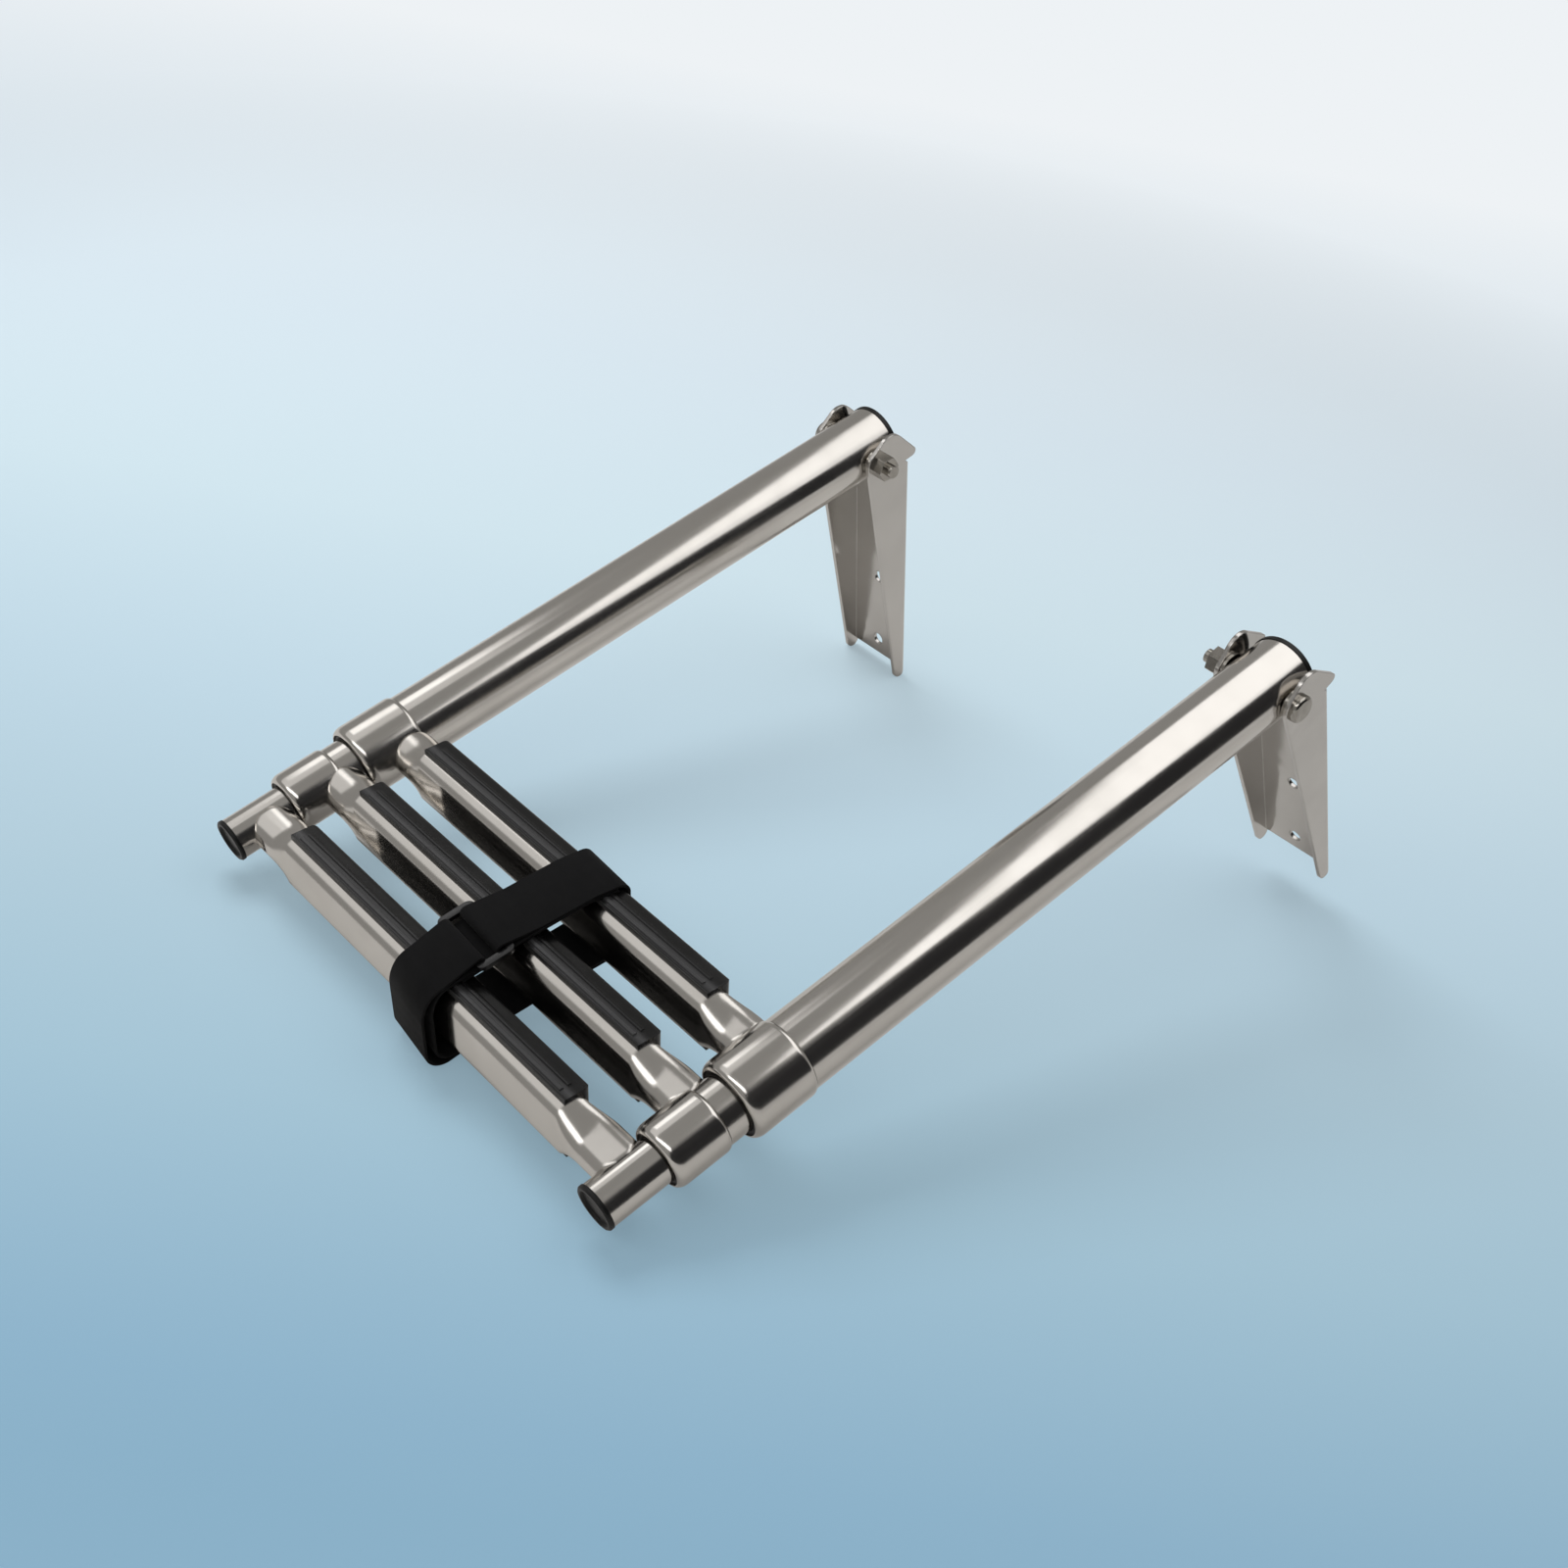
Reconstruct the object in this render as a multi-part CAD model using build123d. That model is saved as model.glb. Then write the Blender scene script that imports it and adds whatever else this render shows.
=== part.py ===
from build123d import *
import os

# Folding boat ladder: two hinged transom brackets, two telescoping legs, three flattened tube steps.
# Millimetres. X runs across the ladder, Z up, +Y towards the transom.
# The origin lies on the back face of the left bracket, halfway up its plate.

# Ladder as a whole
LEG_SPACING = 259.2          # between the axes of the two legs
REST_SLOPE = 6.2             # degrees, lower end of the ladder below level at rest
RIGHT_SWING = 14.8           # degrees, bottom of the right bracket swung towards the transom at rest
RUN_GAP = 0.3                # running clearance of sliding and soft pieces
SEAT_GAP = 0.15              # clearance round a seated plastic piece

# Brackets, measured down the plate from the hinge axis
SHEET = 2.0                  # thickness of the bracket sheet
PIVOT_OUT = 20.7             # hinge axis to the back face
CHANNEL_HALF = 17.8          # leg axis to the inside of an ear
PLATE_TOP = 16.0
PLATE_BOTTOM = 139.0
BEND_RADIUS = 3.0            # outside radius of the two bends
EAR_TIP = 143.5
EAR_TIP_BACK = 16.2          # middle of the tip, behind the hinge axis
EAR_TIP_RADIUS = 3.6
EAR_LOBE_RADIUS = 8.0        # rounded ear in front of the bolt
EAR_CROWN_RADIUS = 9.0
EAR_CROWN_BACK = 7.2         # middle of the crown, behind the hinge axis
EAR_TOP_RISE = 13.5          # top of the ear over the hinge axis
EAR_NOSE_BACK = 3.6          # nose of the ear behind the back face
EAR_NOSE_RADIUS = 2.6
EAR_NOSE_DOWN = 1.5
BOLT_HOLES = (46.5, 88.25, 130.0)
BOLT_HOLE_RADIUS = 3.3

# Hinge bolt
BOLT_RADIUS = 3.175
BOLT_HEAD_RADIUS = 6.5
BOLT_HEAD_HEIGHT = 3.2
BOLT_HEAD_ROUND = 1.9
BOLT_END = 3.5               # thread that stands out of the nut
NUT_ACROSS = 11.1
NUT_HEIGHT = 6.4
WASHER_RADIUS = 7.5
WASHER_THICKNESS = 1.5
BOLT_CLEARANCE = 0.05        # radial, in ears, washers and leg

# Legs, measured down the leg from the hinge axis
OUTER_RADIUS = 16.0
MIDDLE_RADIUS = 12.7
INNER_RADIUS = 9.5
TUBE_WALL = 1.2
LEG_TOP = -13.0
UPPER_CREASE = 273.6
UPPER_FERRULE = 29.9         # length of the barrel below its crease
MIDDLE_SHOWN = 9.4           # middle tube between the upper mouth and its own crease
MIDDLE_FERRULE = 25.2
INNER_SHOWN = 29.3           # inner tube and its cap below the middle mouth
BOLT_ROOM = 8.0              # top of a sliding tube below the hinge axis
INNER_TUBE_TOP = 40.0
FLARE_LENGTH = 12.0          # widened top of a sliding tube, its guide and stop
FLARE_RAMP = 2.0
FERRULE_BULGE = 1.1          # barrel of a ferrule over its tube
LIP_INSET = 1.1              # curled mouth of a ferrule inside its tube's radius
CREASE_DEPTH = 0.5
MOUTH_ROUND = 3.2
BUSHING_LENGTH = 14.0
BUSHING_RECESS = 0.8
CAP_FLANGE = 2.0
CAP_PLUG = 8.0
CAP_WALL = 2.4               # wall of a cap's plug
CAP_DISC = 1.0               # cap's face under its flange
CAP_DISH = 1.2               # depth of the dish in the end cap
CAP_RIM = 1.8                # width of the end cap's raised rim
CAP_OVERHANG = 0.3
TOP_CAP_FLANGE = 1.6
TOP_CAP_CHAMFER = 1.0

# Steps and tread pads
STEP_SEATS = (9.3, 3.9, 13.2)  # middle of each step below the crease or mouth that it sits under
STEP_DEPTH = 26.0            # square to the ladder, under the pads
STEP_THICK = 14.0            # along the legs
STEP_CORNER = 5.5            # outside radius of the flattened tube
STEP_WALL = 1.2
STEP_TILT = 11.0             # degrees, far edge of the flattened tube towards the brackets
STEP_RISE = 1.15             # flattened tube over the plane of the legs
NECK_WIDTH = 20.6            # at the leg, along the legs
NECK_DEPTHS = (20.6, 20.6, 17.5)  # at the leg, square to the ladder
NECK_SHIFT = 2.4             # middle of a neck at the leg, nearer the brackets than the step's middle
NECK_LENGTH = 16.0
NECK_STATIONS = ((0.0, 0.0), (0.25, 0.45), (0.6, 0.88), (1.0, 1.0))  # way along the neck, share of its change
PAD_HALF = 96.0
PAD_THICK = 2.2
PAD_CORNER = 2.0
PAD_END_ROUND = 3.0
PAD_LIP = 3.0                # lips reach this far past the middle of the step
RIDGE_HEIGHT = 0.7
RIDGE_WIDTH = 2.0
RIDGE_END = 5.0              # ridges stop short of the pad's ends
LIP_RIDGES = (-0.5, 3.2)     # on the lips, from the middle of the step
TREAD_RIDGES = (-9.0, -4.5, 0.0, 4.5, 9.0)

# Strap round the folded steps, doubled back through its ring
STRAP_WIDTH = 27.5
STRAP_LAYER = 1.4
STRAP_X = 10.2               # middle of the ring, from the middle of the ladder
STRAP_SKEW = 3.0             # degrees
STRAP_FRONT_SLACK = 0.2
STRAP_BACK_SLACK = 0.0
STRAP_TAPER = 9.0            # the doubled strap closes this far from a bar of the ring
RING_DOWN = 329.5            # down the leg to the middle of the ring
RING_ROOM = 0.6              # between the strap's edge and the ring
RING_WIDTH = 17.0
RING_BAR = 2.8
RING_THICK = 2.0
RING_CORNER = 2.2

# Sizes that follow
UPPER_MOUTH = UPPER_CREASE + UPPER_FERRULE
MIDDLE_CREASE = UPPER_MOUTH + MIDDLE_SHOWN
MIDDLE_MOUTH = MIDDLE_CREASE + MIDDLE_FERRULE
LEG_END = MIDDLE_MOUTH + INNER_SHOWN
STEP_CENTRES = (
    UPPER_CREASE + STEP_SEATS[0],
    MIDDLE_CREASE + STEP_SEATS[1],
    MIDDLE_MOUTH + STEP_SEATS[2],
)
PAD_GROWTH = 2 * (PAD_THICK + SEAT_GAP)
EAR_OUTSIDE = CHANNEL_HALF + SHEET
PIVOT_UP = (PLATE_TOP + PLATE_BOTTOM) / 2
HALF_SPACING = LEG_SPACING / 2


def on_ladder(shape):
    """Ladder frame: origin on the left hinge axis, -Y down the leg, Z square to the ladder."""
    return Pos(0, -PIVOT_OUT, PIVOT_UP) * Rot(REST_SLOPE, 0, 0) * shape


def on_bracket(shape, side):
    """Bracket frame: origin on its hinge axis, -Z down the plate, -Y away from the transom."""
    swing = RIGHT_SWING if side > 0 else 0.0
    return Pos(side_x(side), -PIVOT_OUT, PIVOT_UP) * Rot(swing, 0, 0) * shape


def side_x(side):
    return LEG_SPACING if side > 0 else 0.0


def outward(side):
    return 1 if side > 0 else -1


def save(shape, name):
    solids = shape.solids()
    shape = solids[0] if len(solids) == 1 else Compound(children=list(solids))
    shape.label = name
    export_step(shape, "parts/" + name + ".step")


def along_x(profile, x_from, x_to):
    """Extrude a sketch drawn in Y (first) and Z (second) between two X positions."""
    face = Plane.YZ.offset(x_from) * profile
    return extrude(face, x_to - x_from, dir=(1, 0, 0))


def rod_x(radius, x_from, x_to):
    return along_x(Circle(radius), min(x_from, x_to), max(x_from, x_to))


def turned(outline):
    """Revolve an outline of (radius, distance down the leg) about the leg's axis."""
    points = [(r, -u) for r, u in outline]
    face = make_face(Polyline(*points, close=True))
    return revolve(face, Axis.Y, 360)


def ring_y(outside, inside, u_from, u_to):
    return turned([(inside, u_from), (outside, u_from), (outside, u_to), (inside, u_to)])


# Brackets

def ear_outline():
    """Side view of an ear: Y first, towards the transom, and Z up, from the hinge axis."""
    tip_down = EAR_TIP - EAR_TIP_RADIUS
    tip = Pos(EAR_TIP_BACK, -tip_down) * Circle(EAR_TIP_RADIUS)
    lobe = Circle(EAR_LOBE_RADIUS)
    crown = Pos(EAR_CROWN_BACK, EAR_TOP_RISE - EAR_CROWN_RADIUS) * Circle(EAR_CROWN_RADIUS)
    nose = Pos(PIVOT_OUT + EAR_NOSE_BACK - EAR_NOSE_RADIUS, -EAR_NOSE_DOWN) * Circle(EAR_NOSE_RADIUS)
    spine_top = PLATE_TOP / 2
    spine = Pos(PIVOT_OUT - SHEET, -(spine_top + tip_down) / 2) * Rectangle(2 * SHEET, tip_down - spine_top)
    outline = make_hull((lobe + crown + nose).edges()) + make_hull((lobe + tip + spine).edges())
    return outline - Circle(BOLT_RADIUS + BOLT_CLEARANCE)


def bracket(side):
    outline = ear_outline()
    ears = along_x(outline, -EAR_OUTSIDE, -CHANNEL_HALF) + along_x(outline, CHANNEL_HALF, EAR_OUTSIDE)
    plate_height = PLATE_BOTTOM - PLATE_TOP
    plate = Pos(0, PIVOT_OUT - SHEET / 2, -PIVOT_UP) * Box(2 * EAR_OUTSIDE, SHEET, plate_height)
    body = ears + plate
    back_edges = body.edges().filter_by(Axis.Z).group_by(Axis.Y)[-1]
    body = fillet(back_edges.group_by(SortBy.LENGTH)[-1], BEND_RADIUS)
    for down in BOLT_HOLES:
        hole = Pos(0, PIVOT_OUT - SHEET / 2, -down) * Rot(90, 0, 0) * Cylinder(BOLT_HOLE_RADIUS, 2 * SHEET)
        body -= hole
    return on_bracket(body, side)


def hinge_bolt(side):
    out = outward(side)
    shank = rod_x(BOLT_RADIUS, out * EAR_OUTSIDE, -out * (EAR_OUTSIDE + NUT_HEIGHT + BOLT_END))
    head = rod_x(BOLT_HEAD_RADIUS, out * EAR_OUTSIDE, out * (EAR_OUTSIDE + BOLT_HEAD_HEIGHT))
    rim = head.edges().filter_by(GeomType.CIRCLE).sort_by(Axis.X)[-1 if out > 0 else 0]
    head = fillet(rim, BOLT_HEAD_ROUND)
    return on_bracket(shank + head, side)


def hinge_nut(side):
    out = outward(side)
    prism = RegularPolygon(NUT_ACROSS / 2, 6, major_radius=False) - Circle(BOLT_RADIUS)
    if out > 0:
        nut = along_x(prism, -EAR_OUTSIDE - NUT_HEIGHT, -EAR_OUTSIDE)
    else:
        nut = along_x(prism, EAR_OUTSIDE, EAR_OUTSIDE + NUT_HEIGHT)
    return on_bracket(nut, side)


def washer(side, facing):
    """One washer in the gap between an ear and the leg: facing is +1 outside the leg, -1 inside it."""
    out = outward(side) * facing
    far = CHANNEL_HALF - SEAT_GAP
    disc = Circle(WASHER_RADIUS) - Circle(BOLT_RADIUS + BOLT_CLEARANCE)
    near = far - WASHER_THICKNESS
    low, high = (near, far) if out > 0 else (-far, -near)
    return on_bracket(along_x(disc, low, high), side)


# Legs

def on_leg(shape, side):
    return on_ladder(Pos(side_x(side), 0, 0) * shape)


def outer_tube(side):
    tube = ring_y(OUTER_RADIUS, OUTER_RADIUS - TUBE_WALL, LEG_TOP, UPPER_CREASE)
    bore = rod_x(BOLT_RADIUS + BOLT_CLEARANCE, -OUTER_RADIUS - 1, OUTER_RADIUS + 1)
    return on_leg(tube - bore, side)


def top_cap(side):
    inside = OUTER_RADIUS - TUBE_WALL - SEAT_GAP
    outline = [
        (0.0, LEG_TOP - TOP_CAP_FLANGE),
        (OUTER_RADIUS - TOP_CAP_CHAMFER, LEG_TOP - TOP_CAP_FLANGE),
        (OUTER_RADIUS, LEG_TOP - TOP_CAP_FLANGE + TOP_CAP_CHAMFER),
        (OUTER_RADIUS, LEG_TOP),
        (inside, LEG_TOP),
        (inside, LEG_TOP + CAP_PLUG),
        (inside - CAP_WALL, LEG_TOP + CAP_PLUG),
        (inside - CAP_WALL, LEG_TOP + CAP_DISC),
        (0.0, LEG_TOP + CAP_DISC),
    ]
    return on_leg(turned(outline), side)


def ferrule_curve(tube_radius, crease, mouth):
    """Outside of a ferrule: out of its crease, over the barrel and into the curled mouth."""
    length = mouth - crease
    return Spline(
        (tube_radius - CREASE_DEPTH, -crease),
        (tube_radius + 0.55 * FERRULE_BULGE, -crease - 0.14 * length),
        (tube_radius + FERRULE_BULGE, -crease - 0.5 * length),
        (tube_radius + 0.45 * FERRULE_BULGE, -mouth + MOUTH_ROUND),
        (tube_radius - LIP_INSET, -mouth),
    )


def ferrule_outside(tube_radius, crease, mouth):
    axis = Polyline(
        (tube_radius - LIP_INSET, -mouth), (0, -mouth), (0, -crease), (tube_radius - CREASE_DEPTH, -crease)
    )
    return ferrule_curve(tube_radius, crease, mouth) + axis


def ferrule(side, tube_radius, crease, mouth):
    """Barrel on the lower end of a tube: creased at its top, curled in at its mouth."""
    bore = tube_radius - TUBE_WALL
    inside = Polyline(
        (tube_radius - LIP_INSET, -mouth), (bore, -mouth), (bore, -crease), (tube_radius - CREASE_DEPTH, -crease)
    )
    body = revolve(make_face(ferrule_curve(tube_radius, crease, mouth) + inside), Axis.Y, 360)
    return on_leg(body, side)


def bushing(side, tube_radius, sliding_radius, mouth):
    outside = tube_radius - TUBE_WALL - SEAT_GAP
    inside = sliding_radius + RUN_GAP
    end = mouth - BUSHING_RECESS
    return on_leg(ring_y(outside, inside, end - BUSHING_LENGTH, end), side)


def sliding_tube(side, radius, top, end, flare_radius):
    """Tube with a widened top, its guide in the tube above and the stop of its travel."""
    inside = radius - TUBE_WALL
    ramp_top = top + FLARE_LENGTH
    ramp_end = ramp_top + FLARE_RAMP
    outline = [
        (inside, end),
        (radius, end),
        (radius, ramp_end),
        (flare_radius, ramp_top),
        (flare_radius, top),
        (flare_radius - TUBE_WALL, top),
        (flare_radius - TUBE_WALL, ramp_top - TUBE_WALL / 2),
        (inside, ramp_end - TUBE_WALL / 2),
    ]
    return on_leg(turned(outline), side)


def middle_tube(side):
    flare = OUTER_RADIUS - TUBE_WALL - RUN_GAP
    return sliding_tube(side, MIDDLE_RADIUS, BOLT_ROOM, MIDDLE_CREASE, flare)


def inner_tube(side):
    flare = MIDDLE_RADIUS - TUBE_WALL - RUN_GAP
    return sliding_tube(side, INNER_RADIUS, INNER_TUBE_TOP, LEG_END - CAP_FLANGE, flare)


def end_cap(side):
    """Dished cap with a raised rim on the end of the inner tube."""
    inside = INNER_RADIUS - TUBE_WALL - SEAT_GAP
    rim_top = INNER_RADIUS + CAP_OVERHANG - CAP_FLANGE / 3
    outline = [
        (0.0, LEG_END - CAP_DISH),
        (rim_top - CAP_RIM, LEG_END - CAP_DISH),
        (rim_top - CAP_RIM + CAP_FLANGE / 3, LEG_END),
        (rim_top, LEG_END),
        (INNER_RADIUS + CAP_OVERHANG, LEG_END - CAP_FLANGE / 3),
        (INNER_RADIUS + CAP_OVERHANG, LEG_END - CAP_FLANGE),
        (inside, LEG_END - CAP_FLANGE),
        (inside, LEG_END - CAP_FLANGE - CAP_PLUG),
        (0.0, LEG_END - CAP_FLANGE - CAP_PLUG),
    ]
    return on_leg(turned(outline), side)


# Steps: a round tube, flattened and turned a little between the necks that meet the legs

def on_step(shape, level):
    """Step frame: X along the step, Y through its thickness towards the brackets, Z across its depth."""
    return Pos(HALF_SPACING, -STEP_CENTRES[level], STEP_RISE) * Rot(-STEP_TILT, 0, 0) * shape


def tube_section(level, share, inset):
    """Section of a step in the ladder's Y and Z: flat at share 0, round at share 1."""
    across = STEP_THICK + (NECK_WIDTH - STEP_THICK) * share
    deep = STEP_DEPTH + (NECK_DEPTHS[level] - STEP_DEPTH) * share
    round_corner = 0.49 * min(NECK_WIDTH, NECK_DEPTHS[level])
    corner = STEP_CORNER + (round_corner - STEP_CORNER) * share
    profile = RectangleRounded(across - 2 * inset, deep - 2 * inset, corner - inset)
    return Pos(NECK_SHIFT * share, STEP_RISE * (1 - share)) * Rot(0, 0, -STEP_TILT * (1 - share)) * profile


def step_body(level, inset):
    flat = along_x(tube_section(level, 0.0, inset), -PAD_HALF, PAD_HALF)
    neck = loft([
        Plane.YZ.offset(PAD_HALF + way * NECK_LENGTH) * tube_section(level, share, inset)
        for way, share in NECK_STATIONS
    ])
    end = neck + along_x(tube_section(level, 1.0, inset), PAD_HALF + NECK_LENGTH, HALF_SPACING)
    return flat + end + mirror(end, Plane.YZ)


def barrel_core(tube_radius, crease, mouth):
    """Filled outline of both legs round a ferrule, which the necks of a step are cut to."""
    barrel = revolve(make_face(ferrule_outside(tube_radius, crease, mouth)), Axis.Y, 360)
    return both_legs(barrel + leg_core(tube_radius, (crease + mouth) / 2))


def leg_core(radius, middle):
    return Pos(0, -middle, 0) * Rot(90, 0, 0) * Cylinder(radius, 4 * NECK_WIDTH)


def both_legs(core):
    return core + Pos(LEG_SPACING, 0, 0) * core


def step(level, core):
    shell = step_body(level, 0.0) - step_body(level, STEP_WALL)
    tube = Pos(HALF_SPACING, -STEP_CENTRES[level], 0) * shell
    return on_ladder((tube - core).solids().sort_by(SortBy.VOLUME)[-1])


def upper_step():
    return step(0, barrel_core(OUTER_RADIUS, UPPER_CREASE, UPPER_MOUTH))


def middle_step():
    return step(1, barrel_core(MIDDLE_RADIUS, MIDDLE_CREASE, MIDDLE_MOUTH))


def lower_step():
    return step(2, both_legs(leg_core(INNER_RADIUS, STEP_CENTRES[2])))


def pad_outline():
    """Outside of a tread pad in the step frame: Y first, Z second, open towards the lower end."""
    across = STEP_THICK + PAD_GROWTH
    full = RectangleRounded(across, STEP_DEPTH + PAD_GROWTH, PAD_CORNER)
    reach = PAD_LIP + across / 2
    return full & Pos(across / 2 - reach / 2, 0) * Rectangle(reach, 2 * STEP_DEPTH)


def ridge(length):
    profile = RectangleRounded(RIDGE_WIDTH, 2 * RIDGE_HEIGHT, 0.8 * RIDGE_HEIGHT)
    return along_x(profile, -length / 2, length / 2)


def tread_pad(level):
    """Clip-on tread: flat face towards the brackets, a lip over each edge, lengthwise ridges."""
    across = STEP_THICK + PAD_GROWTH
    half_deep = (STEP_DEPTH + PAD_GROWTH) / 2
    fit = 2 * SEAT_GAP
    seat = RectangleRounded(STEP_THICK + fit, STEP_DEPTH + fit, STEP_CORNER + SEAT_GAP)
    pad = along_x(pad_outline() - seat, -PAD_HALF, PAD_HALF)
    plan = RectangleRounded(2 * PAD_HALF, 2 * across, PAD_END_ROUND)
    pad &= Pos(0, -across / 2, -STEP_DEPTH) * extrude(plan, 2 * STEP_DEPTH)
    bar = ridge(2 * (PAD_HALF - RIDGE_END))
    for offset in LIP_RIDGES:
        pad += Pos(0, offset, half_deep) * bar + Pos(0, offset, -half_deep) * bar
    upright = Rot(90, 0, 0) * bar
    for offset in TREAD_RIDGES:
        pad += Pos(0, across / 2, offset) * upright
    return on_ladder(on_step(pad, level))


# Strap

def bundle():
    """Hull of the three padded steps, Y along the leg and Z square to the ladder, with the strap's slack."""
    flat = RectangleRounded(STEP_THICK, STEP_DEPTH, STEP_CORNER)
    corners = None
    for level, slack in ((0, STRAP_BACK_SLACK), (2, -STRAP_FRONT_SLACK)):
        place = Pos(slack - STEP_CENTRES[level], STEP_RISE) * Rot(0, 0, -STEP_TILT)
        piece = place * (pad_outline() + flat)
        corners = piece if corners is None else corners + piece
    return make_hull(corners.edges())


def ring_height():
    """Height of the ring's middle plane: one turned layer of the strap over the bundle."""
    return bundle_top() + STRAP_LAYER + RUN_GAP + RING_THICK / 2


def bundle_top():
    return bundle().bounding_box().max.Y + RIDGE_HEIGHT + SEAT_GAP


def strap_fold(toward):
    """The strap turned round one long bar of the ring, tapering to its doubled thickness."""
    bar_y = toward * (RING_WIDTH - RING_BAR) / 2
    room = STRAP_LAYER + RUN_GAP
    lobe_deep = RING_THICK + 2 * room
    lobe = Pos(bar_y, ring_height()) * RectangleRounded(RING_BAR + 2 * room, lobe_deep, 0.49 * lobe_deep)
    tail_z = bundle_top() + STRAP_LAYER
    tail = Pos(bar_y + toward * STRAP_TAPER, tail_z) * Rectangle(STRAP_LAYER, 2 * STRAP_LAYER)
    return make_hull((lobe + tail).edges())


def skewed(shape):
    """Turn a shape that is drawn round the ring's middle to the strap's own direction."""
    return Pos(HALF_SPACING + STRAP_X, -RING_DOWN, 0) * Rot(0, 0, -STRAP_SKEW) * shape


def strap():
    hull = bundle()
    clear = RIDGE_HEIGHT + SEAT_GAP
    loop = offset(hull, clear + 2 * STRAP_LAYER) - offset(hull, clear)
    middle = HALF_SPACING + STRAP_X
    band = along_x(loop, middle - STRAP_WIDTH, middle + STRAP_WIDTH)
    band &= skewed(Box(STRAP_WIDTH, LEG_SPACING, LEG_SPACING))
    bars_apart = RING_WIDTH - RING_BAR
    band -= skewed(Pos(0, 0, bundle_top() + STRAP_LAYER) * Box(2 * STRAP_WIDTH, bars_apart, 4 * STRAP_LAYER))
    folds = along_x(strap_fold(1) + strap_fold(-1), -STRAP_WIDTH / 2, STRAP_WIDTH / 2)
    bar = RectangleRounded(RING_BAR + 2 * RUN_GAP, RING_THICK + 2 * RUN_GAP, RUN_GAP)
    bars = Pos(bars_apart / 2, ring_height()) * bar + Pos(-bars_apart / 2, ring_height()) * bar
    return on_ladder(band + skewed(folds) - skewed(along_x(bars, -STRAP_WIDTH, STRAP_WIDTH)))


def strap_ring():
    """Moulded ring between the middle and lower steps, which the strap turns back through."""
    room = STRAP_WIDTH + 2 * RING_ROOM
    opening = RectangleRounded(room, RING_WIDTH - 2 * RING_BAR, RING_ROOM / 2)
    flat = extrude(RectangleRounded(room + 2 * RING_BAR, RING_WIDTH, RING_CORNER) - opening, RING_THICK)
    return on_ladder(skewed(Pos(0, 0, ring_height() - RING_THICK / 2) * flat))


def build():
    pieces = {}
    for word, side in (("left", -1), ("right", 1)):
        pieces[word + "_bracket"] = bracket(side)
        pieces[word + "_hinge_bolt"] = hinge_bolt(side)
        pieces[word + "_hinge_nut"] = hinge_nut(side)
        pieces[word + "_outer_washer"] = washer(side, 1)
        pieces[word + "_inner_washer"] = washer(side, -1)
        pieces[word + "_outer_tube"] = outer_tube(side)
        pieces[word + "_top_cap"] = top_cap(side)
        pieces[word + "_upper_ferrule"] = ferrule(side, OUTER_RADIUS, UPPER_CREASE, UPPER_MOUTH)
        pieces[word + "_upper_bushing"] = bushing(side, OUTER_RADIUS, MIDDLE_RADIUS, UPPER_MOUTH)
        pieces[word + "_middle_tube"] = middle_tube(side)
        pieces[word + "_middle_ferrule"] = ferrule(side, MIDDLE_RADIUS, MIDDLE_CREASE, MIDDLE_MOUTH)
        pieces[word + "_middle_bushing"] = bushing(side, MIDDLE_RADIUS, INNER_RADIUS, MIDDLE_MOUTH)
        pieces[word + "_inner_tube"] = inner_tube(side)
        pieces[word + "_end_cap"] = end_cap(side)
    pieces["upper_step"] = upper_step()
    pieces["middle_step"] = middle_step()
    pieces["lower_step"] = lower_step()
    for level, word in enumerate(("upper", "middle", "lower")):
        pieces[word + "_tread_pad"] = tread_pad(level)
    pieces["strap"] = strap()
    pieces["strap_ring"] = strap_ring()
    return pieces


if __name__ == "__main__":
    os.makedirs("parts", exist_ok=True)
    for name, shape in build().items():
        save(shape, name)
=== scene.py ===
import logging
import math
from abc import ABC, abstractmethod
from collections.abc import Callable
from dataclasses import dataclass
from enum import Enum

import bpy
from mathutils import Matrix, Vector


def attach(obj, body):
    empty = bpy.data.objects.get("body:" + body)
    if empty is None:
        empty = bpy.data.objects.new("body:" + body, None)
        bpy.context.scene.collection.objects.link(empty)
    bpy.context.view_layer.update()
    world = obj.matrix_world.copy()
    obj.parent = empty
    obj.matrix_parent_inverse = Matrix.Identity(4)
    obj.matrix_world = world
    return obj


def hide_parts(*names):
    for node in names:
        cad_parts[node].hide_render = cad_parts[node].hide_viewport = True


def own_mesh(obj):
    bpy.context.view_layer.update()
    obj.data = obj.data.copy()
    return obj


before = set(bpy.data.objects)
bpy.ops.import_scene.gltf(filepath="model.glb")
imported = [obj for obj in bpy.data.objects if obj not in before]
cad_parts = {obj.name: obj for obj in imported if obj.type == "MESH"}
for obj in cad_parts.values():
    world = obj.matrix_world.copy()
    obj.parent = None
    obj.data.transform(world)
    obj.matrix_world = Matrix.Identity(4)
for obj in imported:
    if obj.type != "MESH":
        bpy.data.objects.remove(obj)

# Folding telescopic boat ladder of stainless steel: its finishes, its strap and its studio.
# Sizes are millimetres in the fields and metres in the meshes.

Object = bpy.types.Object
Tree = bpy.types.NodeTree
Socket = bpy.types.NodeSocket
Outline = list[tuple[float, float]]     # distances down the leg and radii, in mm
Run = tuple[float, float, float]        # length, degrees turned after it, radius of that turn

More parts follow.
